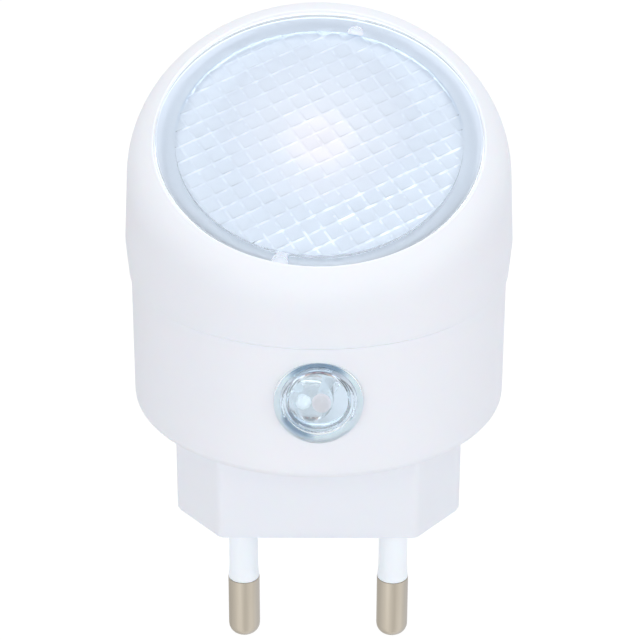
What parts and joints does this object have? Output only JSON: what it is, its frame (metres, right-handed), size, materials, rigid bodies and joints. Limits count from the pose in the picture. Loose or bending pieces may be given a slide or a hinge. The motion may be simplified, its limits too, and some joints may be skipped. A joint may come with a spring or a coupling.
{
  "type": "plug in night light",
  "caption": "Night light on a two pin plug: round base with a dusk sensor window and a turning head with an oblique clear prismatic lens.",
  "frame": {"origin": "centre of the plug block's face that meets the socket, midway between the pins", "axes": "+Z away from the socket along the pins and the swivel axis, +X along the line from one pin to the other, -Y towards the front with the sensor window"},
  "size_m": [0.0462, 0.0462, 0.08],
  "materials": {
    "body_white": "satin moulded",
    "sleeve_white": "satin moulded",
    "pin_metal": "nickel plated, fine turned",
    "strap_brass": "stamped",
    "board_white": "white solder resist",
    "screw_steel": "zinc plated",
    "capacitor_red": "dipped",
    "capacitor_black": "shrunk sleeve",
    "case_black": "moulded",
    "resistor_tan": "lacquered",
    "resistor_blue": "lacquered",
    "sensor_clear": "clear moulded",
    "window_clear": "clear moulded",
    "inner_white": "moulded",
    "ring_rubber": "smooth",
    "wire_red": "extruded",
    "lens_clear": "clear, moulded with a field of small square prisms",
    "reflector_white": "polished white",
    "led_phosphor": "clear cast dome over a yellowish chip"
  },
  "bodies": {
    "base": {"base_housing": "body_white", "live_pin": "pin_metal", "neutral_pin": "pin_metal", "live_pin_sleeve": "sleeve_white", "neutral_pin_sleeve": "sleeve_white", "live_contact_strap": "strap_brass", "neutral_contact_strap": "strap_brass", "main_board": "board_white", "board_screws": "screw_steel", "film_capacitor": "capacitor_red", "round_capacitor": "capacitor_black", "rectifier": "case_black", "fuse_resistor": "resistor_tan", "bleed_resistor": "resistor_tan", "bias_resistor": "resistor_blue", "switching_transistor": "case_black", "dusk_sensor": "sensor_clear", "sensor_window": "window_clear", "swivel_plate": "inner_white", "plate_screws": "screw_steel", "friction_ring": "ring_rubber", "keeper_ring": "inner_white", "keeper_screws": "screw_steel", "lamp_leads": "wire_red"},
    "head": {"head_housing": "body_white", "lens": "lens_clear", "reflector": "reflector_white", "lamp_board": "board_white", "lamp_board_screws": "screw_steel", "lamp_led": "led_phosphor", "lamp_resistor": "case_black"}
  },
  "joints": [
    {"name": "head_turn", "type": "hinge", "parent": "base", "child": "head", "pos_m": [0, 0, 0.03325], "axis": [0, 0, 1], "range_deg": [-175, 175], "deforming": ["lamp_leads"]}
  ]
}
